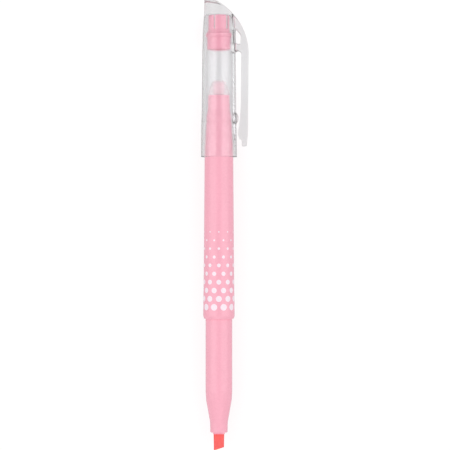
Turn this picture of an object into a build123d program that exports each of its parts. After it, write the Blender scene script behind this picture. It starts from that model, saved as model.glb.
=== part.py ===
from build123d import *
import math
import os

# A slim capped highlighter: chisel nib, snap-in front section, eraser tail, and a clear cap that is
# posted on the tail. The pen lies along Y, with the nib towards -Y, the cap towards +Y, the clip
# towards +X and +Z up. The origin is on the pen's axis, in the plane of the barrel's shoulder.
# Every profile is drawn in the XY plane as (distance from the axis, y), in millimetres.

os.makedirs("parts", exist_ok=True)

# ---- Driving dimensions ------------------------------------------------------------------------

# Stations along the axis, nib to cap top
NIB_TIP_Y = -44.4
NIB_SLOPE = 1.1            # how much further back the blunt corner of the chisel edge lies
LIP_END_Y = -38.8
NOSE_END_Y = -38.25
TAPER_START_Y = -24.4
SPIGOT_END_Y = 9.0
BARREL_REAR_Y = 75.1
ERASER_TOP_Y = 80.1
CAP_MOUTH_Y = 54.4         # with the cap posted on the tail
CAP_TOP_Y = 107.6
CAP_BORE_END_Y = 102.2

# Radii
SHOULDER_R = 5.3
BARREL_MID_R = 5.14
BARREL_POST_R = 4.82       # where the posted cap's mouth grips
BARREL_REAR_R = 3.58
SECTION_R = 4.49
NOSE_R = 2.92
SPIGOT_R = 4.05
RESERVOIR_R = 3.2
CAP_MOUTH_R = 6.05
CAP_BORE_MOUTH_R = 4.88
CAP_BORE_MID_R = 4.6
CAP_BORE_END_R = 4.42

# Clip, seen from above: its arm stands off the cap on the +X side
CLIP_OUTER_X = 10.0
CLIP_INNER_X = 7.5
CLIP_WIDTH_ROOT = 4.4
CLIP_WIDTH_TIP = 3.4
CLIP_TIP_Y = 57.9
CLIP_TIP_ROUNDING = 1.2
HINGE_Y = 88.0             # where the arm flexes, just below the bridge

# Fits
SNUG = 0.02                # radial gap between pieces that are pressed or snapped together
KNUCKLE_GAP = 0.08         # radial gap where the flexing arm meets its root

# ---- Nib -----------------------------------------------------------------------------------------

NIB_WIDTH = 3.58
NIB_TIP_WIDTH = 3.38
NIB_THICKNESS = 2.6
NIB_SLAB_REAR_Y = -33.0
NIB_STEM_R = 1.2
NIB_STEM_END_Y = -20.0
NIB_STEM_OVERLAP = 0.5     # how far the stem starts inside the slab
NIB_POINT_R = 0.3
NIB_POINT_LENGTH = 1.5
NIB_EDGE = 0.7             # thickness left at the chisel edge
NIB_BEVEL_LENGTH = 2.6
NIB_CORNER = 0.45

half_tip = NIB_TIP_WIDTH / 2
edge_angle = math.degrees(math.atan2(NIB_SLOPE, NIB_TIP_WIDTH))
# Across the chisel edge: its x runs back from the edge, its y is the slab's thickness
edge_plane = Plane(
    origin=(0, NIB_TIP_Y + NIB_SLOPE / 2, 0),
    x_dir=Vector(0, 1, 0).rotate(Axis.Z, edge_angle),
    z_dir=Vector(1, 0, 0).rotate(Axis.Z, edge_angle),
)

with BuildPart() as nib:
    with BuildSketch(Plane.XZ.offset(-LIP_END_Y)):
        RectangleRounded(NIB_WIDTH, NIB_THICKNESS, NIB_CORNER)
    with BuildSketch(Plane.XZ.offset(-NIB_TIP_Y)):
        RectangleRounded(NIB_TIP_WIDTH, NIB_THICKNESS, NIB_CORNER)
    loft()
    with BuildSketch(Plane.XZ.offset(-LIP_END_Y)):
        RectangleRounded(NIB_WIDTH, NIB_THICKNESS, NIB_CORNER)
    extrude(amount=LIP_END_Y - NIB_SLAB_REAR_Y)
    # The slanted end cut
    with BuildSketch(Plane.XY):
        with BuildLine():
            Polyline(
                (-half_tip - 1, NIB_TIP_Y - 1),
                (-half_tip, NIB_TIP_Y),
                (half_tip, NIB_TIP_Y + NIB_SLOPE),
                (half_tip + 1, NIB_TIP_Y + NIB_SLOPE + 1),
                (half_tip + 1, NIB_TIP_Y - 1),
                close=True,
            )
        make_face()
    extrude(amount=NIB_THICKNESS, both=True, mode=Mode.SUBTRACT)
    # The two bevels that thin the slab towards the edge
    for side in (1, -1):
        with BuildSketch(edge_plane):
            with BuildLine():
                Polyline(
                    (-1, side * NIB_EDGE / 2),
                    (0, side * NIB_EDGE / 2),
                    (NIB_BEVEL_LENGTH, side * NIB_THICKNESS / 2),
                    (NIB_BEVEL_LENGTH, side * NIB_THICKNESS),
                    (-1, side * NIB_THICKNESS),
                    close=True,
                )
            make_face()
        extrude(amount=NIB_WIDTH, both=True, mode=Mode.SUBTRACT)
    # The round stem that reaches into the reservoir, with a pointed end
    with BuildSketch():
        with BuildLine():
            Polyline(
                (0, NIB_SLAB_REAR_Y - NIB_STEM_OVERLAP),
                (NIB_STEM_R, NIB_SLAB_REAR_Y - NIB_STEM_OVERLAP),
                (NIB_STEM_R, NIB_STEM_END_Y - NIB_POINT_LENGTH),
                (NIB_POINT_R, NIB_STEM_END_Y),
                (0, NIB_STEM_END_Y),
                close=True,
            )
        make_face()
    revolve(axis=Axis.Y)

# ---- Ink reservoir and its film -----------------------------------------------------------------

RESERVOIR_FRONT_Y = -26.4
RESERVOIR_REAR_Y = 58.0
STEM_SOCKET_R = NIB_STEM_R + SNUG
FILM_THICKNESS = 0.1

with BuildPart() as ink_reservoir:
    with BuildSketch():
        with BuildLine():
            Polyline(
                (STEM_SOCKET_R, RESERVOIR_FRONT_Y),
                (RESERVOIR_R, RESERVOIR_FRONT_Y),
                (RESERVOIR_R, RESERVOIR_REAR_Y),
                (0, RESERVOIR_REAR_Y),
                (0, NIB_STEM_END_Y + SNUG),
                (NIB_POINT_R + SNUG, NIB_STEM_END_Y + SNUG),
                (STEM_SOCKET_R, NIB_STEM_END_Y - NIB_POINT_LENGTH + SNUG),
                close=True,
            )
        make_face()
    revolve(axis=Axis.Y)

with BuildPart() as reservoir_film:
    with BuildSketch(Plane.XZ.offset(-RESERVOIR_FRONT_Y)):
        Circle(RESERVOIR_R + FILM_THICKNESS)
        Circle(RESERVOIR_R, mode=Mode.SUBTRACT)
    extrude(amount=RESERVOIR_FRONT_Y - RESERVOIR_REAR_Y)

# ---- Front section ------------------------------------------------------------------------------

RESERVOIR_CLEARANCE = 0.08
SECTION_BORE_R = RESERVOIR_R + FILM_THICKNESS + RESERVOIR_CLEARANCE
SECTION_BORE_END_Y = -27.0
BORE_CONE_LENGTH = 0.6
LIP_WALL = 0.2
LIP_OVERLAP = 0.5          # how far the collar starts inside the nose
SNAP_BEAD_R = SPIGOT_R + 0.13
SNAP_BEAD_Y = 6.0
SNAP_BEAD_HALF = 0.6       # half the bead's length at its foot
SNAP_BEAD_CREST = 0.2      # and at its crest
SPIGOT_LEAD_LENGTH = 0.5
SPIGOT_LEAD_DEPTH = 0.3
STEM_HOLE_R = NIB_STEM_R + 0.15

with BuildPart() as front_section:
    with BuildSketch():
        with BuildLine():
            # Outside: nose, cone, grip, then the spigot with its snap bead
            outside = FilletPolyline(
                (0, NOSE_END_Y),
                (NOSE_R, NOSE_END_Y),
                (NOSE_R + 0.06, -34.9),
                (4.34, -27.2),
                (SECTION_R, TAPER_START_Y),
                (SECTION_R, 0),
                radius=[0.18, 6, 9, 12],
            )
            Polyline(
                outside @ 1,
                (SPIGOT_R, 0),
                (SPIGOT_R, SNAP_BEAD_Y - SNAP_BEAD_HALF),
                (SNAP_BEAD_R, SNAP_BEAD_Y - SNAP_BEAD_CREST),
                (SNAP_BEAD_R, SNAP_BEAD_Y + SNAP_BEAD_CREST),
                (SPIGOT_R, SNAP_BEAD_Y + SNAP_BEAD_HALF),
                (SPIGOT_R, SPIGOT_END_Y - SPIGOT_LEAD_LENGTH),
                (SPIGOT_R - SPIGOT_LEAD_DEPTH, SPIGOT_END_Y),
                (SECTION_BORE_R, SPIGOT_END_Y),
                (SECTION_BORE_R, SECTION_BORE_END_Y),
                (STEM_HOLE_R, SECTION_BORE_END_Y - BORE_CONE_LENGTH),
                (STEM_HOLE_R, NIB_SLAB_REAR_Y),
                (0, NIB_SLAB_REAR_Y),
                outside @ 0,
            )
        make_face()
    revolve(axis=Axis.Y)
    # The low collar round the nib
    with BuildSketch(Plane.XZ.offset(-LIP_END_Y)):
        RectangleRounded(NIB_WIDTH + 2 * LIP_WALL, NIB_THICKNESS + 2 * LIP_WALL, NIB_CORNER + LIP_WALL)
    extrude(amount=LIP_END_Y - NOSE_END_Y - LIP_OVERLAP)
    # The slot that grips the nib's slab
    with BuildSketch(Plane.XZ.offset(-LIP_END_Y)):
        RectangleRounded(NIB_WIDTH + 2 * SNUG, NIB_THICKNESS + 2 * SNUG, NIB_CORNER)
    extrude(amount=LIP_END_Y - NIB_SLAB_REAR_Y - SNUG, mode=Mode.SUBTRACT)

# ---- Barrel -------------------------------------------------------------------------------------

BARREL_BORE_R = 3.85
BARREL_BORE_REAR_R = 3.5
BARREL_BORE_STEP_Y = 58.5
NECK_BORE_R = 2.7
NECK_BORE_Y = 66.0
NECK_CONE_LENGTH = 0.8
BORE_TAPER_START_Y = 29.0
BEAD_GROOVE_PLAY = 0.05    # how much longer the bead's groove is at each end
SHOULDER_BEVEL = 0.35      # how far the front edge is bevelled in, over SHOULDER_BEVEL_Y
SHOULDER_BEVEL_Y = 0.85

with BuildPart() as barrel:
    with BuildSketch():
        with BuildLine():
            # Outside: flared shoulder, long taper, then the bullet-shaped tail inside the cap
            outside = FilletPolyline(
                (SHOULDER_R - SHOULDER_BEVEL, 0),
                (SHOULDER_R, SHOULDER_BEVEL_Y),
                (SHOULDER_R - 0.02, 4.5),
                (BARREL_MID_R, 12.0),
                (BARREL_POST_R, CAP_MOUTH_Y),
                (4.55, 61.0),
                (4.12, 68.0),
                (3.72, 70.2),
                (BARREL_REAR_R, BARREL_REAR_Y),
                radius=[1.5, 40, 60, 30, 30, 1.0, 3.0],
            )
            Polyline(
                outside @ 1,
                (NECK_BORE_R, BARREL_REAR_Y),
                (NECK_BORE_R, NECK_BORE_Y),
                (BARREL_BORE_REAR_R, NECK_BORE_Y - NECK_CONE_LENGTH),
                (BARREL_BORE_REAR_R, BARREL_BORE_STEP_Y),
                (BARREL_BORE_R, BORE_TAPER_START_Y),
                (BARREL_BORE_R, SPIGOT_END_Y + SNUG),
                (SPIGOT_R + SNUG, SPIGOT_END_Y + SNUG),
                (SPIGOT_R + SNUG, SNAP_BEAD_Y + SNAP_BEAD_HALF + BEAD_GROOVE_PLAY),
                (SNAP_BEAD_R + SNUG, SNAP_BEAD_Y + SNAP_BEAD_CREST + BEAD_GROOVE_PLAY),
                (SNAP_BEAD_R + SNUG, SNAP_BEAD_Y - SNAP_BEAD_CREST - BEAD_GROOVE_PLAY),
                (SPIGOT_R + SNUG, SNAP_BEAD_Y - SNAP_BEAD_HALF - BEAD_GROOVE_PLAY),
                (SPIGOT_R + SNUG, 0),
                outside @ 0,
            )
        make_face()
    revolve(axis=Axis.Y)

# ---- Tail plug ----------------------------------------------------------------------------------

PLUG_R = NECK_BORE_R - SNUG
PEG_R = 1.55
PEG_RING_R = 1.95
PEG_RING_PITCH = 1.1
PEG_RING_THICKNESS = 0.7
PEG_RING_BEVEL = 0.25
PEG_RINGS = 4
PEG_TOP_Y = 79.3
PLUG_SEAT_Y = 70.5         # where the eraser's spigot stops
PLUG_FIN_WIDTH = 1.0
PLUG_FIN_LENGTH = 2 * BARREL_BORE_REAR_R - 0.4

with BuildPart() as tail_plug:
    with BuildSketch(Plane.XZ.offset(-NECK_BORE_Y)):
        Circle(PLUG_R)
    extrude(amount=NECK_BORE_Y - PLUG_SEAT_Y)
    with BuildSketch(Plane.XZ.offset(-PLUG_SEAT_Y)):
        Circle(PEG_R)
    extrude(amount=PLUG_SEAT_Y - PEG_TOP_Y)
    # Rings that hold the eraser, the last one level with the peg's top
    for ring in range(PEG_RINGS):
        ring_y = PEG_TOP_Y - ring * PEG_RING_PITCH
        with BuildSketch():
            with BuildLine():
                Polyline(
                    (0, ring_y),
                    (PEG_RING_R - PEG_RING_BEVEL, ring_y),
                    (PEG_RING_R, ring_y - 0.3),
                    (PEG_RING_R, ring_y - 0.5),
                    (PEG_R, ring_y - PEG_RING_THICKNESS),
                    (0, ring_y - PEG_RING_THICKNESS),
                    close=True,
                )
            make_face()
        revolve(axis=Axis.Y)
    # Crossed fins that hold the reservoir forward
    with BuildSketch(Plane.XZ.offset(-RESERVOIR_REAR_Y - SNUG)):
        for turn in (0, 90):
            Rectangle(PLUG_FIN_LENGTH, PLUG_FIN_WIDTH, rotation=turn)
        Circle(PLUG_R, mode=Mode.INTERSECT)
    extrude(amount=RESERVOIR_REAR_Y + SNUG - NECK_BORE_Y)

# ---- Eraser -------------------------------------------------------------------------------------

ERASER_BASE_R = BARREL_REAR_R - 0.05
ERASER_TOP_R = 1.75

with BuildPart() as eraser:
    with BuildSketch():
        with BuildLine():
            dome = Spline(
                (ERASER_BASE_R, BARREL_REAR_Y + 0.5),
                (3.2, BARREL_REAR_Y + 2.1),
                (2.65, BARREL_REAR_Y + 3.5),
                (ERASER_TOP_R, ERASER_TOP_Y - 0.12),
            )
            Polyline(
                dome @ 0,
                (ERASER_BASE_R, BARREL_REAR_Y + SNUG),
                (PLUG_R, BARREL_REAR_Y + SNUG),
                (PLUG_R, PLUG_SEAT_Y + SNUG),
                (0, PLUG_SEAT_Y + SNUG),
                (0, ERASER_TOP_Y),
                (ERASER_TOP_R - 0.3, ERASER_TOP_Y),
                dome @ 1,
            )
        make_face()
    revolve(axis=Axis.Y)
    # The hollow for the peg and its rings
    with BuildSketch():
        with BuildLine():
            Polyline(
                (0, PLUG_SEAT_Y - 1),
                (PEG_RING_R + SNUG, PLUG_SEAT_Y - 1),
                (PEG_RING_R + SNUG, PEG_TOP_Y - PEG_RING_BEVEL),
                (PEG_RING_R - PEG_RING_BEVEL + SNUG, PEG_TOP_Y + SNUG),
                (0, PEG_TOP_Y + SNUG),
                close=True,
            )
        make_face()
    revolve(axis=Axis.Y, mode=Mode.SUBTRACT)

# ---- Cap shell ----------------------------------------------------------------------------------

# The cap's slanted top and the clip's back share one arch, from the cap's crown to the hinge
ARCH_START = (-3.0, CAP_TOP_Y)
ARCH_MIDDLE = (6.4, 100.3)
ARCH_END = (CLIP_OUTER_X, HINGE_Y)
BRIDGE_LOW_Y = 90.1
BRIDGE_HIGH_Y = 92.4
WINDOW_X = 7.3
SNAP_RING_Y = 66.6
SNAP_RING_HEIGHT = 0.13
SNAP_RING_HALF = 0.6       # half the ring's length at its foot
MOUTH_LEAD_DEPTH = 0.3
MOUTH_LEAD_LENGTH = 0.4
MOUTH_GRIP_LENGTH = 3.0    # the parallel stretch of bore that grips the barrel
BORE_WAIST_Y = 79.5
BUMP_Y = 67.4
BUMP_R = 2.3
BUMP_X = 4.25
BUMP_WIDTH = 2.8
ROOT_WIDTH = CLIP_WIDTH_ROOT + 0.2

hinge_x = (CLIP_OUTER_X + CLIP_INNER_X) / 2
knuckle_r = (CLIP_OUTER_X - CLIP_INNER_X) / 2

with BuildPart() as cap_shell:
    with BuildSketch():
        with BuildLine():
            outside = FilletPolyline(
                (CAP_MOUTH_R, CAP_MOUTH_Y),
                (5.9, 66.5),
                (5.76, 69.8),
                (5.64, 88.5),
                (5.38, 97.0),
                (4.98, 102.8),
                (4.9, CAP_TOP_Y),
                (0, CAP_TOP_Y),
                radius=[10, 10, 30, 20, 8, 1.1],
            )
            Polyline(outside @ 1, (0, CAP_MOUTH_Y), outside @ 0)
        make_face()
    revolve(axis=Axis.Y)
    # The clip's root: the ridge, the bridge and the stub above the hinge
    with BuildSketch(Plane.XY):
        with BuildLine():
            Polyline(
                (CLIP_OUTER_X + 1, HINGE_Y),
                (CLIP_INNER_X, HINGE_Y),
                (CLIP_INNER_X, BRIDGE_LOW_Y),
                (0, BRIDGE_LOW_Y),
                (0, CAP_TOP_Y),
                (CLIP_OUTER_X + 1, CAP_TOP_Y - 8),
                close=True,
            )
        make_face()
    extrude(amount=ROOT_WIDTH / 2, both=True)
    # The slanted top: everything above the arch goes
    with BuildSketch(Plane.XY):
        with BuildLine():
            arch = ThreePointArc(ARCH_START, ARCH_MIDDLE, ARCH_END)
            Polyline(
                arch @ 1,
                (CLIP_OUTER_X, HINGE_Y - 1),
                (CLIP_OUTER_X + 5, HINGE_Y - 1),
                (CLIP_OUTER_X + 5, CAP_TOP_Y + 5),
                (ARCH_START[0], CAP_TOP_Y + 5),
                arch @ 0,
            )
        make_face()
    extrude(amount=CAP_MOUTH_R + 1, both=True, mode=Mode.SUBTRACT)
    # The small window between the ridge and the cap's wall
    with BuildSketch(Plane.XY):
        with BuildLine():
            FilletPolyline(
                (5.66, BRIDGE_HIGH_Y),
                (WINDOW_X, BRIDGE_HIGH_Y),
                (WINDOW_X, 95.6),
                (5.5, 97.8),
                radius=0.35,
                close=True,
            )
        make_face()
    extrude(amount=ROOT_WIDTH, both=True, mode=Mode.SUBTRACT)
    # The socket for the arm's rounded end
    with BuildSketch(Plane.XY):
        with Locations((hinge_x, HINGE_Y)):
            Circle(knuckle_r + KNUCKLE_GAP)
    extrude(amount=ROOT_WIDTH, both=True, mode=Mode.SUBTRACT)
    # The bump that pinches a pocket against the clip's barb
    with BuildSketch(Plane.XY):
        with Locations((BUMP_X, BUMP_Y)):
            Circle(BUMP_R)
    extrude(amount=BUMP_WIDTH / 2, both=True)
    # The bore, with a raised ring that snaps over the front section
    with BuildSketch():
        with BuildLine():
            Polyline(
                (0, CAP_MOUTH_Y - 1),
                (CAP_BORE_MOUTH_R + MOUTH_LEAD_DEPTH, CAP_MOUTH_Y - 1),
                (CAP_BORE_MOUTH_R + MOUTH_LEAD_DEPTH, CAP_MOUTH_Y),
                (CAP_BORE_MOUTH_R, CAP_MOUTH_Y + MOUTH_LEAD_LENGTH),
                (CAP_BORE_MOUTH_R, CAP_MOUTH_Y + MOUTH_GRIP_LENGTH),
                (CAP_BORE_MID_R + SNAP_RING_HEIGHT, SNAP_RING_Y - SNAP_RING_HALF),
                (CAP_BORE_MID_R, SNAP_RING_Y),
                (CAP_BORE_MID_R + SNAP_RING_HEIGHT, SNAP_RING_Y + SNAP_RING_HALF),
                (CAP_BORE_MID_R, BORE_WAIST_Y),
                (CAP_BORE_END_R, CAP_BORE_END_Y),
                (0, CAP_BORE_END_Y),
                close=True,
            )
        make_face()
    revolve(axis=Axis.Y, mode=Mode.SUBTRACT)

# ---- Clip arm -----------------------------------------------------------------------------------

with BuildPart() as clip:
    with BuildSketch(Plane.XY):
        with BuildLine():
            FilletPolyline(
                (CLIP_OUTER_X, HINGE_Y),
                (9.86, 73.0),
                (9.76, 62.0),
                (9.3, CLIP_TIP_Y),
                (7.75, CLIP_TIP_Y),
                (7.7, 60.2),
                (6.95, 60.6),
                (6.42, 62.2),
                (7.1, 67.4),
                (7.4, 73.0),
                (CLIP_INNER_X, HINGE_Y),
                radius=[20, 3, 0.5, 0.3, 0.3, 0.4, 0.8, 12, 20],
            )
            Line((CLIP_INNER_X, HINGE_Y), (CLIP_OUTER_X, HINGE_Y))
        make_face()
        with Locations((hinge_x, HINGE_Y)):
            Circle(knuckle_r)
    extrude(amount=CLIP_WIDTH_ROOT / 2, both=True)
    # Seen along X the arm narrows a little and ends in a round tip
    with BuildSketch(Plane.YZ):
        with BuildLine():
            Polyline(
                (HINGE_Y + 3, CLIP_WIDTH_ROOT / 2),
                (HINGE_Y, CLIP_WIDTH_ROOT / 2),
                (CLIP_TIP_Y, CLIP_WIDTH_TIP / 2),
                (CLIP_TIP_Y, -CLIP_WIDTH_TIP / 2),
                (HINGE_Y, -CLIP_WIDTH_ROOT / 2),
                (HINGE_Y + 3, -CLIP_WIDTH_ROOT / 2),
                close=True,
            )
        make_face()
        fillet(vertices().group_by(Axis.X)[0], radius=CLIP_TIP_ROUNDING)
    extrude(amount=CLIP_OUTER_X + 1, mode=Mode.INTERSECT)

# ---- Inner cap ----------------------------------------------------------------------------------

SKIRT_MOUTH_Y = 90.5
SKIRT_R = 3.9
SKIRT_BORE_R = 3.0
FLANGE_Y = 94.9
FLANGE_THICKNESS = 1.3
FLANGE_R = 4.42
STEM_R = 3.5
STEM_BORE_R = 2.35
STEM_FLARE = 0.35
FLARE_END_Y = 97.3         # where the stem's flared root ends
PRONG_LEAD_LENGTH = 0.5
PRONG_LEAD_DEPTH = 0.3
# Straight cuts across the stem, as (x, width), that let its prongs spring in the cap's bore
STEM_SLOTS = ((-1.41, 0.42), (2.62, 0.5))

with BuildPart() as inner_cap:
    with BuildSketch():
        with BuildLine():
            Polyline(
                (SKIRT_BORE_R + 0.35, SKIRT_MOUTH_Y),
                (SKIRT_R, SKIRT_MOUTH_Y),
                (SKIRT_R, FLANGE_Y - 0.6),
                (FLANGE_R, FLANGE_Y),
                (FLANGE_R, FLANGE_Y + FLANGE_THICKNESS - 0.4),
                (STEM_R + STEM_FLARE, FLANGE_Y + FLANGE_THICKNESS),
                (STEM_R, FLARE_END_Y),
                (STEM_R, CAP_BORE_END_Y - PRONG_LEAD_LENGTH),
                (STEM_R - PRONG_LEAD_DEPTH, CAP_BORE_END_Y),
                (STEM_BORE_R, CAP_BORE_END_Y),
                (STEM_BORE_R, FLANGE_Y + 0.2),
                (SKIRT_BORE_R, FLANGE_Y - 0.6),
                (SKIRT_BORE_R, SKIRT_MOUTH_Y + 0.5),
                close=True,
            )
        make_face()
    revolve(axis=Axis.Y)
    with BuildSketch(Plane.XY):
        for slot_x, slot_width in STEM_SLOTS:
            with Locations((slot_x, (FLARE_END_Y + CAP_BORE_END_Y + 1) / 2)):
                Rectangle(slot_width, CAP_BORE_END_Y + 1 - FLARE_END_Y)
    extrude(amount=STEM_R + 1, both=True, mode=Mode.SUBTRACT)

# ---- Export -------------------------------------------------------------------------------------

pieces = {
    "nib": nib,
    "ink_reservoir": ink_reservoir,
    "reservoir_film": reservoir_film,
    "front_section": front_section,
    "barrel": barrel,
    "tail_plug": tail_plug,
    "eraser": eraser,
    "cap_shell": cap_shell,
    "clip": clip,
    "inner_cap": inner_cap,
}
for piece_name, piece in pieces.items():
    piece.part.label = piece_name
    export_step(piece.part, f"parts/{piece_name}.step")
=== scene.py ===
import math

import bmesh
import bpy
import numpy as np
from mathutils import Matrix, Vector


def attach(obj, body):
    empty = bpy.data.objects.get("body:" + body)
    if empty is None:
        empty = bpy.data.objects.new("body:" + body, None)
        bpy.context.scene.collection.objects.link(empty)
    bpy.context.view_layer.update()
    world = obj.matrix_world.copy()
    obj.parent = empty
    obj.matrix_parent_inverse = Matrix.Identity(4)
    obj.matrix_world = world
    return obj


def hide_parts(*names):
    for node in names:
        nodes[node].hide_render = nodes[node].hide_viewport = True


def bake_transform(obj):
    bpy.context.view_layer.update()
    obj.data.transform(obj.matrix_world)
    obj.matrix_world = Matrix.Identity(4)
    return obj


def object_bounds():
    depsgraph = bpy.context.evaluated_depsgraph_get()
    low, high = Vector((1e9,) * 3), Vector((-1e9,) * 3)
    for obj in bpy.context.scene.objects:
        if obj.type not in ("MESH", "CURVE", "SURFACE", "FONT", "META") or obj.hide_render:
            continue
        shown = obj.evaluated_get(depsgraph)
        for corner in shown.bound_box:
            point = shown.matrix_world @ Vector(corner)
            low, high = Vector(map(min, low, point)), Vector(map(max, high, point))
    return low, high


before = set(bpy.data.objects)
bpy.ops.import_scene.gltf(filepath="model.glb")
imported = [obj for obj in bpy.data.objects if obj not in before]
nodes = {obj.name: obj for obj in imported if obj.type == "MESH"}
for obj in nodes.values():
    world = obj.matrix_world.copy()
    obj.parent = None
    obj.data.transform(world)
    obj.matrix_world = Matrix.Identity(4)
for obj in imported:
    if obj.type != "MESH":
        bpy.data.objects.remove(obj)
cad_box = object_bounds()

MM = 0.001


# ---- Node helpers --------------------------------------------------------------------------------


class Graph:
    """A node tree, with short calls for the nodes that the materials and the world share."""

    def __init__(self, tree):
        self.tree = tree

    def node(self, kind, *inputs, **settings):
        """A node with its first inputs fed in order. None leaves an input as it is."""
        made = self.tree.nodes.new(kind)
        for key, value in settings.items():
            setattr(made, key, value)
        for index, value in enumerate(inputs):
            self.feed(made.inputs[index], value)
        return made

    def feed(self, socket, value):
        if value is None:
            return
        if isinstance(value, bpy.types.NodeSocket):
            self.tree.links.new(value, socket)
        else:
            socket.default_value = value

    def math(self, operation, a, b=None, c=None):
        return self.node("ShaderNodeMath", a, b, c, operation=operation).outputs[0]

    def remap(self, value, low, high, to_low=0.0, to_high=1.0, ease="LINEAR"):
        limits = (low, high, to_low, to_high)
        return self.node("ShaderNodeMapRange", value, *limits, interpolation_type=ease).outputs[0]


class Material(Graph):
    """A new material, with calls for the nodes that only materials use."""

    def __init__(self, name):
        self.material = bpy.data.materials.new(name)
        self.material.use_nodes = True
        super().__init__(self.material.node_tree)
        self.tree.nodes.clear()
        self.output = self.tree.nodes.new("ShaderNodeOutputMaterial")

    def place(self, scale=(1, 1, 1)):
        """Object coordinates in millimetres, stretched by scale."""
        coordinates = self.node("ShaderNodeTexCoord").outputs["Object"]
        factors = tuple(1000 * s for s in scale)
        return self.node(
            "ShaderNodeVectorMath", coordinates, factors, operation="MULTIPLY"
        ).outputs[0]

    def noise(self, vector, scale, detail=2.0, roughness=0.5):
        made = self.node("ShaderNodeTexNoise", noise_dimensions="3D")
        self.feed(made.inputs["Vector"], vector)
        made.inputs["Scale"].default_value = scale
        made.inputs["Detail"].default_value = detail
        made.inputs["Roughness"].default_value = roughness
        return made.outputs[0]

    def mix(self, factor, a, b):
        made = self.node("ShaderNodeMix", factor, data_type="RGBA")
        self.feed(made.inputs[6], a)
        self.feed(made.inputs[7], b)
        return made.outputs[2]

    def bump(self, height, distance_mm):
        made = self.node("ShaderNodeBump")
        made.inputs["Strength"].default_value = 1.0
        made.inputs["Distance"].default_value = distance_mm * MM
        self.feed(made.inputs["Height"], height)
        return made.outputs[0]

    def principled(self, **inputs):
        made = self.node("ShaderNodeBsdfPrincipled")
        for key, value in inputs.items():
            self.feed(made.inputs[key.replace("_", " ")], value)
        self.feed(self.output.inputs["Surface"], made.outputs[0])
        return made


def linear(red, green, blue):
    """An sRGB colour in 0..255 as a linear RGBA."""
    parts = []
    for value in (red, green, blue):
        share = value / 255
        parts.append(share / 12.92 if share <= 0.04045 else ((share + 0.055) / 1.055) ** 2.4)
    return (*parts, 1.0)


def scaled(colour, factor):
    return (colour[0] * factor, colour[1] * factor, colour[2] * factor, 1.0)


# ---- Materials -----------------------------------------------------------------------------------

PINK = linear(252, 178, 196)
INNER_PINK = linear(250, 170, 190)
RESERVOIR_CORAL = linear(255, 120, 110)
PRINT = linear(250, 238, 246)
WHITE = (1.0, 1.0, 1.0, 1.0)
PLASTIC_IOR = 1.49
PLASTIC_GRAIN = 0.004
FLOW_SHADE = 0.965
BARREL_PRINT_R = 5.2
PRINT_EDGE = 0.035
DOTS_LOW_Y = 2.6
DOT_ROWS = 10
DOT_COLUMNS = 10
DOT_ROW_PITCH = 2.8
DOT_LARGEST_R = 1.1
DOT_SMALLEST_R = 0.25


def moulded(graph, colour, roughness):
    """Injection-moulded plastic: faint flow streaks, spark-eroded grain, soft handling marks."""
    place = graph.place()
    along = graph.place((1.0, 0.12, 1.0))
    flow = graph.noise(along, 0.9, 3.0)
    marks = graph.noise(place, 0.45, 4.0, 0.6)
    fine = graph.noise(place, 9.0, 2.0)
    tone = graph.remap(flow, 0.3, 0.7)
    shaded = graph.mix(tone, scaled(colour, FLOW_SHADE), colour)
    worn = graph.remap(marks, 0.3, 0.7, roughness - 0.05, roughness + 0.05)
    rough = graph.math("ADD", worn, graph.remap(fine, 0.3, 0.7, -0.02, 0.02))
    return shaded, rough, graph.bump(fine, PLASTIC_GRAIN)


def plain_plastic(name, colour, roughness):
    graph = Material(name)
    shaded, rough, normal = moulded(graph, colour, roughness)
    graph.principled(Base_Color=shaded, Roughness=rough, Normal=normal, IOR=PLASTIC_IOR)
    return graph.material


def barrel_print(graph):
    """A plain print of staggered dots that shrink up the barrel, 1 where there is ink."""
    split = graph.node("ShaderNodeSeparateXYZ", graph.place())
    turn = graph.math("ARCTAN2", split.outputs["X"], split.outputs["Z"])
    height = graph.math("SUBTRACT", split.outputs["Y"], DOTS_LOW_Y)
    rows_up = graph.math("DIVIDE", height, DOT_ROW_PITCH)
    row = graph.math("FLOOR", rows_up)
    # Every other row is half a pitch further round
    stagger = graph.math("MULTIPLY", graph.math("PINGPONG", row, 1.0), 0.5)
    columns_round = graph.math("MULTIPLY_ADD", turn, DOT_COLUMNS / (2 * math.pi), stagger)
    column_pitch = 2 * math.pi * BARREL_PRINT_R / DOT_COLUMNS
    column_part = graph.math("SUBTRACT", graph.math("FRACT", columns_round), 0.5)
    row_part = graph.math("SUBTRACT", graph.math("FRACT", rows_up), 0.5)
    sideways = graph.math("MULTIPLY", column_part, column_pitch)
    lengthwise = graph.math("MULTIPLY", row_part, DOT_ROW_PITCH)
    spot = graph.node("ShaderNodeCombineXYZ", sideways, lengthwise).outputs[0]
    off_centre = graph.node("ShaderNodeVectorMath", spot, operation="LENGTH").outputs["Value"]
    radius = graph.remap(row, 0.0, DOT_ROWS - 1.0, DOT_LARGEST_R, DOT_SMALLEST_R)
    dots = graph.math("SUBTRACT", off_centre, radius)
    below = graph.math("MULTIPLY", height, -1.0)
    above = graph.math("SUBTRACT", height, DOT_ROWS * DOT_ROW_PITCH)
    field = graph.math("MAXIMUM", dots, graph.math("MAXIMUM", below, above))
    return graph.remap(field, PRINT_EDGE, -PRINT_EDGE)


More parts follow.
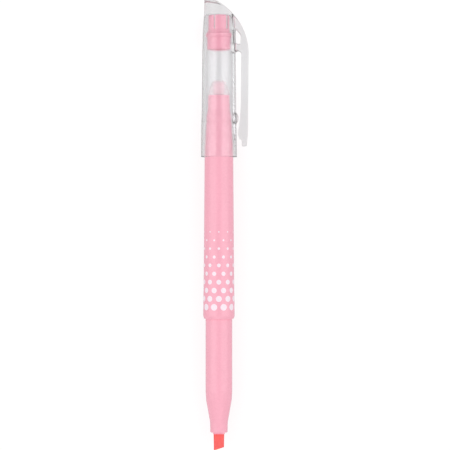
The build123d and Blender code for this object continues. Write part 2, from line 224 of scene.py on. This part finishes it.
def barrel_material():
    graph = Material("barrel_plastic")
    shaded, rough, normal = moulded(graph, PINK, 0.28)
    ink = barrel_print(graph)
    # Pad-printed ink lies a little unevenly and is slightly see-through
    cover = graph.remap(graph.noise(graph.place(), 2.2, 3.0), 0.3, 0.7, 0.86, 1.0)
    shown = graph.math("MULTIPLY", ink, cover)
    graph.principled(
        Base_Color=graph.mix(shown, shaded, PRINT),
        Roughness=graph.math("MULTIPLY_ADD", ink, 0.06, rough),
        Normal=normal,
        IOR=PLASTIC_IOR,
    )
    return graph.material


def nib_material():
    graph = Material("nib_fibre")
    fibre_place = graph.place((1.0, 0.07, 1.0))
    fibres = graph.noise(fibre_place, 14.0, 4.0, 0.7)
    bundles = graph.noise(fibre_place, 4.0, 2.0)
    soak = graph.noise(graph.place(), 0.8, 2.0)
    fine_part = graph.math("MULTIPLY", fibres, 0.6)
    coarse_part = graph.math("MULTIPLY", bundles, 0.4)
    pick = graph.remap(graph.math("ADD", fine_part, coarse_part), 0.35, 0.65)
    colour = graph.mix(pick, linear(247, 96, 94), linear(255, 122, 116))
    colour = graph.mix(graph.remap(soak, 0.35, 0.7, 0.0, 0.35), colour, linear(250, 92, 96))
    normal = graph.bump(fibres, 0.03)
    graph.principled(Base_Color=colour, Roughness=0.85, Normal=normal, Specular_IOR_Level=0.25)
    return graph.material


def film_material():
    graph = Material("reservoir_film")
    streak = graph.noise(graph.place((1.0, 0.1, 1.0)), 2.0, 2.0)
    graph.principled(
        Base_Color=(0.95, 0.95, 0.96, 1.0),
        Roughness=graph.remap(streak, 0.3, 0.7, 0.05, 0.12),
        Transmission_Weight=0.9,
        IOR=1.45,
    )
    return graph.material


def let_lamps_through(graph, shader, tint):
    """Lamp rays, and diffuse rays from what is inside, pass straight through.

    Every other ray meets the shader.
    """
    open_air = graph.node("ShaderNodeBsdfTransparent", tint)
    ray = graph.node("ShaderNodeLightPath")
    lamp = graph.math("MAXIMUM", ray.outputs["Is Shadow Ray"], ray.outputs["Is Diffuse Ray"])
    join = graph.node("ShaderNodeMixShader", lamp, shader.outputs[0], open_air.outputs[0])
    graph.feed(graph.output.inputs["Surface"], join.outputs[0])


def eraser_material():
    graph = Material("eraser_rubber")
    cloud = graph.remap(graph.noise(graph.place(), 1.2, 3.0), 0.35, 0.65)
    rubber = graph.principled(
        Base_Color=graph.mix(cloud, (0.97, 0.92, 0.94, 1.0), (0.99, 0.96, 0.97, 1.0)),
        Roughness=0.1,
        Transmission_Weight=0.66,
        IOR=1.2,
        Normal=graph.bump(graph.noise(graph.place(), 8.0), 0.004),
    )
    let_lamps_through(graph, rubber, (0.99, 0.95, 0.97, 1.0))
    return graph.material


def clear_material():
    """Clear styrene with faint lengthwise handling marks; its tint is painted greyer edge on, a
    painted shade along the cap's edges.
    """
    graph = Material("cap_clear_plastic")
    marks = graph.noise(graph.place((1.0, 0.25, 1.0)), 0.8, 3.0)
    facing = graph.node("ShaderNodeLayerWeight", 0.5).outputs["Facing"]
    # Painted shade: the tint turns greyer where the surface is seen edge on, darkening the cap's
    # edges
    edge = graph.remap(facing, 0.02, 0.3)
    plastic = graph.principled(
        Base_Color=graph.mix(edge, (0.935, 0.935, 0.945, 1.0), (0.88, 0.88, 0.89, 1.0)),
        Roughness=graph.remap(marks, 0.3, 0.7, 0.14, 0.21),
        Transmission_Weight=1.0,
        IOR=1.44,
    )
    let_lamps_through(graph, plastic, WHITE)
    return graph.material


def unseen_material():
    """For the two cut faces of the moulding: light passes as if the plastic were whole."""
    graph = Material("cap_cut_face")
    graph.principled(Base_Color=WHITE, Alpha=0.0)
    return graph.material


def paint(node, material):
    mesh = nodes[node].data
    mesh.materials.clear()
    mesh.materials.append(material)


paint("nib", nib_material())
paint("front_section", plain_plastic("section_plastic", PINK, 0.27))
paint("barrel", barrel_material())
paint("tail_plug", plain_plastic("plug_plastic", PINK, 0.4))
paint("inner_cap", plain_plastic("inner_cap_plastic", INNER_PINK, 0.3))
paint("ink_reservoir", plain_plastic("reservoir_fibre", RESERVOIR_CORAL, 0.9))
paint("reservoir_film", film_material())
paint("eraser", eraser_material())

# ---- The clear cap and its clip, as one moulding -------------------------------------------------

# Millimetres, after the CAD; the profiles are (y, radius) stations, and (y, x) for the clip's back
CAP_MOUTH_Y = 54.4
CAP_BORE_END_Y = 102.2
CAP_TOP_Y = 107.6
HINGE_Y = 88.0
CLIP_TIP_Y = 57.9
ARM_INNER_X = 6.7
BRIDGE_LOW_Y = 90.1
OUTER_PROFILE = [
    (CAP_MOUTH_Y, 6.05),
    (66.5, 5.9),
    (69.8, 5.76),
    (88.5, 5.64),
    (97.0, 5.38),
    (102.8, 4.98),
    (CAP_TOP_Y, 4.9),
]
BORE_PROFILE = [
    (CAP_MOUTH_Y, 4.88),
    (57.4, 4.88),
    (66.6, 4.66),
    (79.5, 4.6),
    (CAP_BORE_END_Y, 4.42),
]
BACK_PROFILE = [(CLIP_TIP_Y, 9.3), (62.0, 9.76), (73.0, 9.86), (88.8, 10.02)]
ARCH_CENTRE = (-10.06, 88.806)
ARCH_R = 20.08
SNAP_RING_Y = 66.6
SNAP_RING_HEIGHT = 0.13
BUMP_CENTRE = (4.25, 67.4)
BUMP_R = 2.3
BUMP_HALF_WIDTH = 1.4
ROOT_HALF_WIDTH = 2.3
HINGE_HALF_WIDTH = 2.2
TIP_HALF_WIDTH = 1.7
ROOT_WIDTH_Y = HINGE_Y + 4

# The roundings and fillets that the CAD leaves out
PROFILE_SMOOTHING = 2.5
MOUTH_ROUNDING = 0.08
CROWN_ROUNDING = 0.5
STRIP_TIP_ROUNDING = 1.2
STRIP_ROUNDING = 0.35
WINDOW_ROUNDING = 0.25
BACK_ROUNDING = 0.45
BUMP_ROUNDING = 0.15
BUMP_FILLET = 0.2
BARB_FILLET = 0.15
ROOT_FILLET = 1.2
BARB_FILLET_Y = 84.0
BORE_END_ROUNDING = 0.5
BORE_LIP_ROUNDING = 0.12
BORE_LEAD = 0.06
BORE_LEAD_LENGTH = 0.25
SNAP_RING_SPREAD = 0.45

# How the moulding is sampled and cut
CELL = 0.27
GRID_SIDE = 6.4
GRID_CLIP_X = 10.5
GRID_END_MARGIN = 0.5
GRADIENT_REACH = 0.01
NORMAL_REACH = 0.03
LONGEST_MOVE = 0.2
SETTLING_ROUNDS = 3
CUT_GAP = 0.006
CUT_REACH = 1.0
ARM_BELOW_Y = 80.0


def smoothed(profile, width):
    """The profile as a function of y, with its corners rounded over width millimetres."""
    stations = np.linspace(profile[0][0] - 3 * width, profile[-1][0] + 3 * width, 2401)
    known_y, known_r = (np.array(column) for column in zip(*profile))
    slope_low = (known_r[1] - known_r[0]) / (known_y[1] - known_y[0])
    slope_high = (known_r[-1] - known_r[-2]) / (known_y[-1] - known_y[-2])
    radius = np.interp(stations, known_y, known_r)
    below = np.minimum(stations - known_y[0], 0)
    above = np.maximum(stations - known_y[-1], 0)
    radius += below * slope_low + above * slope_high
    reach = max(1, int(width / (stations[1] - stations[0])))
    kernel = np.hanning(2 * reach + 1)
    kernel /= kernel.sum()
    radius = np.convolve(np.pad(radius, reach, mode="edge"), kernel, mode="valid")
    return lambda y: np.interp(y, stations, radius)


def rounded(corners):
    """A closed outline from (x, y, radius) corners, with an arc of that radius in each."""
    outline = []
    count = len(corners)
    for index, (x, y, radius) in enumerate(corners):
        here = np.array((x, y))
        before = np.array(corners[index - 1][:2]) - here
        after = np.array(corners[(index + 1) % count][:2]) - here
        before /= np.linalg.norm(before)
        after /= np.linalg.norm(after)
        half = math.acos(float(np.clip(before @ after, -1, 1))) / 2
        straight_on = half > 1.56
        if radius == 0 or straight_on:
            outline.append(tuple(here))
            continue
        reach = radius / math.tan(half)
        middle = before + after
        centre = here + middle / np.linalg.norm(middle) * radius / math.sin(half)
        start = here + before * reach - centre
        end = here + after * reach - centre
        turn = math.atan2(start[0] * end[1] - start[1] * end[0], start @ end)
        steps = max(3, int(abs(turn) / 0.2))
        for step in range(steps + 1):
            angle = turn * step / steps
            cosine, sine = math.cos(angle), math.sin(angle)
            across = start[0] * cosine - start[1] * sine
            along = start[0] * sine + start[1] * cosine
            outline.append((centre[0] + across, centre[1] + along))
    return outline


def outline_distance(x, y, outline):
    """Signed distance to a closed outline, negative inside."""
    best = np.full(np.broadcast(x, y).shape, np.inf)
    sign = np.ones(best.shape)
    for (ax, ay), (bx, by) in zip(outline, outline[1:] + outline[:1]):
        ex, ey = bx - ax, by - ay
        length = ex * ex + ey * ey
        if length < 1e-12:
            continue
        wx, wy = x - ax, y - ay
        t = np.clip((wx * ex + wy * ey) / length, 0, 1)
        best = np.minimum(best, (wx - ex * t) ** 2 + (wy - ey * t) ** 2)
        above, below, left = y >= ay, y < by, ex * wy > ey * wx
        flip = (above & below & left) | (~above & ~below & ~left)
        sign = np.where(flip, -sign, sign)
    return sign * np.sqrt(best)


def both(a, b, radius):
    """Intersection of two fields, with the edge rounded."""
    u, v = np.maximum(radius + a, 0), np.maximum(radius + b, 0)
    return np.minimum(-radius, np.maximum(a, b)) + np.sqrt(u * u + v * v)


def either(a, b, radius):
    """Union of two fields, with the corner filleted."""
    return -both(-a, -b, radius)


outer_radius = smoothed(OUTER_PROFILE, PROFILE_SMOOTHING)
bore_radius = smoothed(BORE_PROFILE, PROFILE_SMOOTHING)
back_x = smoothed(BACK_PROFILE, PROFILE_SMOOTHING)
# The bridge, the arm and its barb from the side, run on past the cap where other faces trim them
ARM_OUTLINE = rounded(
    [
        (14.0, CLIP_TIP_Y, 0),
        (14.0, 112.0, 0),
        (0.0, 112.0, 0),
        (0.0, BRIDGE_LOW_Y, 0),
        (7.5, BRIDGE_LOW_Y, 0.9),
        (7.4, 73.0, 12.0),
        (7.1, 67.4, 10.0),
        (6.42, 62.2, 0.8),
        (6.95, 60.6, 0.4),
        (7.7, 60.2, 0.3),
        (7.75, CLIP_TIP_Y, 0.3),
    ]
)
WINDOW_OUTLINE = rounded(
    [(5.2, 92.4, 0.3), (7.3, 92.4, 0.35), (7.3, 95.6, 0.8), (5.5, 97.8, 0.3), (5.2, 97.9, 0.1)]
)


def cap_field(x, y, z):
    """Below zero inside the clear moulding, in millimetres."""
    radius = np.sqrt(x * x + z * z)
    body = both(radius - outer_radius(y), CAP_MOUTH_Y - y, MOUTH_ROUNDING)
    body = both(body, y - CAP_TOP_Y, CROWN_ROUNDING)
    half_width = np.interp(
        y, (CLIP_TIP_Y, HINGE_Y, ROOT_WIDTH_Y), (TIP_HALF_WIDTH, HINGE_HALF_WIDTH, ROOT_HALF_WIDTH)
    )
    side = both(np.abs(z) - half_width, CLIP_TIP_Y - y, STRIP_TIP_ROUNDING)
    strip = both(outline_distance(x, y, ARM_OUTLINE), side, STRIP_ROUNDING)
    strip = both(strip, -outline_distance(x, y, WINDOW_OUTLINE), WINDOW_ROUNDING)
    # A wide fillet at the root only, so that the barb stays free of the wall
    fillet = np.interp(y, (BARB_FILLET_Y, BRIDGE_LOW_Y), (BARB_FILLET, ROOT_FILLET))
    solid = either(body, strip, fillet)
    bump = np.sqrt((x - BUMP_CENTRE[0]) ** 2 + (y - BUMP_CENTRE[1]) ** 2) - BUMP_R
    bump = both(bump, np.abs(z) - BUMP_HALF_WIDTH, BUMP_ROUNDING)
    solid = either(solid, bump, BUMP_FILLET)
    over_arch = np.sqrt((x - ARCH_CENTRE[0]) ** 2 + (y - ARCH_CENTRE[1]) ** 2) - ARCH_R
    back = np.where(y > ARCH_CENTRE[1], over_arch, x - back_x(y))
    solid = both(solid, back, BACK_ROUNDING)
    snap_ring = SNAP_RING_HEIGHT * np.exp(-(((y - SNAP_RING_Y) / SNAP_RING_SPREAD) ** 2))
    lead = BORE_LEAD * np.exp(-np.maximum(y - CAP_MOUTH_Y, 0) / BORE_LEAD_LENGTH)
    bore = radius - bore_radius(y) + snap_ring - lead
    bore = both(bore, y - CAP_BORE_END_Y, BORE_END_ROUNDING)
    return both(solid, -bore, BORE_LIP_ROUNDING)


def surface_net(field, axes):
    """Vertices and quads of the surface where the sampled field is zero."""
    cells = tuple(n - 1 for n in field.shape)
    total = np.zeros(cells + (3,))
    count = np.zeros(cells)
    crossings = []
    for axis in range(3):
        low = np.take(field, range(cells[axis]), axis)
        high = np.take(field, range(1, cells[axis] + 1), axis)
        cross = (low < 0) != (high < 0)
        share = np.where(cross, low / np.where(low == high, 1, low - high), 0)
        point = []
        for k in range(3):
            values = axes[k][:-1] if k == axis else axes[k]
            column = [1, 1, 1]
            column[k] = len(values)
            base = np.broadcast_to(values.reshape(column), cross.shape)
            if k == axis:
                base = base + share * np.diff(axes[k]).reshape(column)
            point.append(base)
        point = np.stack(point, -1)
        crossings.append((cross, low < 0))
        # Each crossing counts for the four cells round its grid edge
        others = [k for k in range(3) if k != axis]
        for offsets in ((0, 0), (0, 1), (1, 0), (1, 1)):
            cut = [slice(None)] * 3
            for k, offset in zip(others, offsets):
                cut[k] = slice(offset, offset + cells[k])
            cut = tuple(cut)
            total += np.where(cross[cut][..., None], point[cut], 0)
            count += cross[cut]
    active = count > 0
    index = np.full(cells, -1)
    index[active] = np.arange(active.sum())
    vertices = total[active] / count[active][:, None]
    quads = []
    for axis, (cross, low_inside) in enumerate(crossings):
        first, second = [k for k in range(3) if k != axis]
        spots = np.argwhere(cross)
        fits = np.ones(len(spots), bool)
        for k in (first, second):
            fits &= (spots[:, k] > 0) & (spots[:, k] < cells[k])
        spots = spots[fits]
        corners = []
        for first_step, second_step in ((-1, -1), (0, -1), (0, 0), (-1, 0)):
            moved = spots.copy()
            moved[:, first] += first_step
            moved[:, second] += second_step
            corners.append(index[tuple(moved.T)])
        quad = np.stack(corners, 1)
        forward = low_inside[tuple(spots.T)]
        if axis == 1:
            forward = ~forward
        quad[~forward] = quad[~forward][:, ::-1]
        quads.append(quad)
    return vertices, np.concatenate(quads)


def gradient(vertices, field, reach):
    """The field's slope at each vertex, from samples reach millimetres to either side."""
    x, y, z = vertices.T
    ahead = (field(x + reach, y, z), field(x, y + reach, z), field(x, y, z + reach))
    behind = (field(x - reach, y, z), field(x, y - reach, z), field(x, y, z - reach))
    return (np.stack(ahead, 1) - np.stack(behind, 1)) / (2 * reach)


def settle(vertices, field):
    """Moves each vertex onto the exact surface, along the field's gradient."""
    value = field(*vertices.T)
    slope = gradient(vertices, field, GRADIENT_REACH)
    size = np.maximum((slope * slope).sum(1), 0.1)
    move = -(value / size)[:, None] * slope
    length = np.linalg.norm(move, axis=1, keepdims=True)
    return vertices + move * np.minimum(1, LONGEST_MOVE / np.maximum(length, 1e-9))


def relax(vertices, quads, share):
    """Moves each vertex part of the way to the mean of its neighbours."""
    pairs = np.concatenate([quads[:, [k, (k + 1) % 4]] for k in range(4)])
    pairs = np.concatenate([pairs, pairs[:, ::-1]])
    here, there = pairs.T
    number = len(vertices)
    count = np.bincount(here, minlength=number)
    total = np.stack([np.bincount(here, vertices[there, k], number) for k in range(3)], 1)
    mean = total / np.maximum(count, 1)[:, None]
    return vertices + share * (mean - vertices)


def build_cap():
    axes = [
        np.arange(-GRID_SIDE, GRID_CLIP_X, CELL),
        np.arange(CAP_MOUTH_Y - GRID_END_MARGIN, CAP_TOP_Y + GRID_END_MARGIN, CELL),
        np.arange(-GRID_SIDE, GRID_SIDE + CELL, CELL),
    ]
    x, y, z = np.ix_(*axes)
    vertices, quads = surface_net(cap_field(x, y, z), axes)
    for _ in range(SETTLING_ROUNDS):
        vertices = relax(vertices, quads, 0.5)
        vertices = settle(vertices, cap_field)
    vertices = settle(vertices, cap_field)
    mesh = bpy.data.meshes.new("clear_moulding")
    mesh.from_pydata((vertices * MM).tolist(), [], quads.tolist())
    mesh.validate()
    mesh.shade_smooth()
    return mesh


def shade_exactly(mesh):
    """Gives the mesh the exact surface's normals, so that refraction shows no facets."""
    spots = np.array([vertex.co for vertex in mesh.vertices]) / MM
    normals = gradient(spots, cap_field, NORMAL_REACH)
    normals /= np.maximum(np.linalg.norm(normals, axis=1, keepdims=True), 1e-6)
    # A zero vector leaves a vertex on the cut its own normal
    cut = (np.abs(spots[:, 1] - HINGE_Y) < 2 * CUT_GAP) & (spots[:, 0] > ARM_INNER_X)
    normals[cut] = 0.0
    mesh.normals_split_custom_set_from_vertices(normals.tolist())


def part_the_arm(whole):
    """Cuts the arm across in the hinge's plane and returns the indices of its vertices."""
    level = HINGE_Y * MM
    near = []
    for face in whole.faces:
        middle = face.calc_center_median()
        if middle.x > ARM_INNER_X * MM and abs(middle.y - level) < CUT_REACH * MM:
            near.append(face)
    around = dict.fromkeys(part for face in near for part in (*face.edges, *face.verts))
    cut = bmesh.ops.bisect_plane(
        whole, geom=near + list(around), dist=1e-7, plane_co=(0, level, 0), plane_no=(0, 1, 0)
    )
    rim = [part for part in cut["geom_cut"] if isinstance(part, bmesh.types.BMEdge)]
    bmesh.ops.split_edges(whole, edges=rim)
    below = (vertex for vertex in whole.verts if vertex.co.y < ARM_BELOW_Y * MM)
    start = max(below, key=lambda vertex: vertex.co.x)
    arm, waiting = {start}, [start]
    while waiting:
        for edge in waiting.pop().link_edges:
            for vertex in edge.verts:
                if vertex not in arm:
                    arm.add(vertex)
                    waiting.append(vertex)
    whole.verts.index_update()
    return {vertex.index for vertex in arm}


def close_cut(piece, draw_back):
    """Draws the piece's open end back along -Y and closes it with an unseen face."""
    rim = [edge for edge in piece.edges if edge.is_boundary]
    for edge in rim:
        edge.smooth = False
    for vertex in {vertex for edge in rim for vertex in edge.verts}:
        vertex.co.y -= draw_back
    for face in bmesh.ops.holes_fill(piece, edges=rim, sides=0)["faces"]:
        face.smooth = False
        face.material_index = 1
    bmesh.ops.recalc_face_normals(piece, faces=piece.faces)


def cut_at_hinge(mesh, materials):
    """The moulding as two closed objects, the cap and the arm, parted in the hinge's plane."""
    whole = bmesh.new()
    whole.from_mesh(mesh)
    arm = part_the_arm(whole)
    made = []
    for name, is_arm in (("clear_cap", False), ("clear_clip", True)):
        piece = whole.copy()
        spare = [vertex for vertex in piece.verts if (vertex.index in arm) != is_arm]
        bmesh.ops.delete(piece, geom=spare, context="VERTS")
        close_cut(piece, CUT_GAP * MM if is_arm else 0.0)
        own_mesh = bpy.data.meshes.new(name)
        piece.to_mesh(own_mesh)
        piece.free()
        shade_exactly(own_mesh)
        for material in materials:
            own_mesh.materials.append(material)
        made.append(bpy.data.objects.new(name, own_mesh))
        bpy.context.scene.collection.objects.link(made[-1])
    whole.free()
    return made


clear_cap, clear_clip = cut_at_hinge(build_cap(), (clear_material(), unseen_material()))
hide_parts("cap_shell")
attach(clear_cap, "cap")
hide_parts("clip")
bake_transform(clear_clip)

# ---- Stage ---------------------------------------------------------------------------------------

low, high = Vector(cad_box[0]), Vector(cad_box[1])
middle = (low + high) / 2

FLOOR_R = 4.0
FLOOR_GREY = 0.26
FLOOR_GLOW = 0.76
# How much less the floor gives to rays that come through the plastic, or off it
FLOOR_DIM_THROUGH = 0.18
FLOOR_DIM_REFLECTED = 0.28
LAMP_HEIGHT = 0.5
SIDE_LAMP_X = 0.6
LIGHT_BOUNCES = 32

bpy.ops.mesh.primitive_circle_add(
    vertices=96, radius=FLOOR_R, fill_type="NGON", location=(0, 0, low.z)
)
floor = bpy.context.object
floor.name = "floor"
graph = Material("floor_white")
ray = graph.node("ShaderNodeLightPath")
glow = graph.math(
    "MULTIPLY_ADD", ray.outputs["Is Transmission Ray"], -FLOOR_DIM_THROUGH, FLOOR_GLOW
)
glow = graph.math("MULTIPLY_ADD", ray.outputs["Is Reflection Ray"], -FLOOR_DIM_REFLECTED, glow)
graph.principled(
    Base_Color=(FLOOR_GREY, FLOOR_GREY, FLOOR_GREY, 1.0),
    Roughness=0.9,
    Emission_Color=WHITE,
    Emission_Strength=glow,
)
floor.data.materials.append(graph.material)

world = bpy.data.worlds.new("studio")
bpy.context.scene.world = world
world.use_nodes = True
background = world.node_tree.nodes["Background"]
background.inputs["Color"].default_value = WHITE
sky = Graph(world.node_tree)
direction = sky.node("ShaderNodeTexCoord").outputs["Generated"]
upward = sky.node("ShaderNodeSeparateXYZ", direction).outputs["Z"]
# A bright tent overhead that dims towards the horizon
tent = sky.remap(upward, 0.0, 0.7, 0.53, 0.81, ease="SMOOTHSTEP")
# The camera and its hood leave a dim patch straight overhead
hood = sky.remap(upward, 0.95, 0.995, 1.0, 0.35, ease="SMOOTHSTEP")
# The camera itself sees plain white behind the floor
seen = sky.node("ShaderNodeLightPath").outputs["Is Camera Ray"]
strength = sky.node("ShaderNodeMix", seen, None, sky.math("MULTIPLY", tent, hood), 1.0)
sky.feed(background.inputs["Strength"], strength.outputs[0])


def softbox(name, location, target, size, power):
    light = bpy.data.lights.new(name, "AREA")
    light.shape = "RECTANGLE"
    light.size, light.size_y = size
    light.energy = power
    box = bpy.data.objects.new(name, light)
    bpy.context.scene.collection.objects.link(box)
    box.location = location
    aim = Vector(target) - Vector(location)
    box.rotation_euler = aim.to_track_quat("-Z", "Y").to_euler()
    box.visible_camera = False


for name, x in (("left_box", -SIDE_LAMP_X), ("right_box", SIDE_LAMP_X)):
    softbox(name, (x, middle.y, LAMP_HEIGHT), middle, (0.35, 0.9), 1.4)
softbox("front_box", (0.0, -0.50, LAMP_HEIGHT), (0, 0, 0), (0.6, 0.25), 0.4)

camera = bpy.data.objects.new("camera", bpy.data.cameras.new("camera"))
bpy.context.scene.collection.objects.link(camera)
camera.data.sensor_width = 36
camera.data.lens = 142.5
camera.data.clip_start = 0.01
camera.location = (0.00205, 0.0315, 0.6)
bpy.context.scene.camera = camera

bpy.context.scene.view_settings.view_transform = "Standard"
# Light crosses the clear cap's walls many times
cycles = bpy.context.scene.cycles
cycles.max_bounces = LIGHT_BOUNCES
cycles.transmission_bounces = LIGHT_BOUNCES
cycles.transparent_max_bounces = LIGHT_BOUNCES
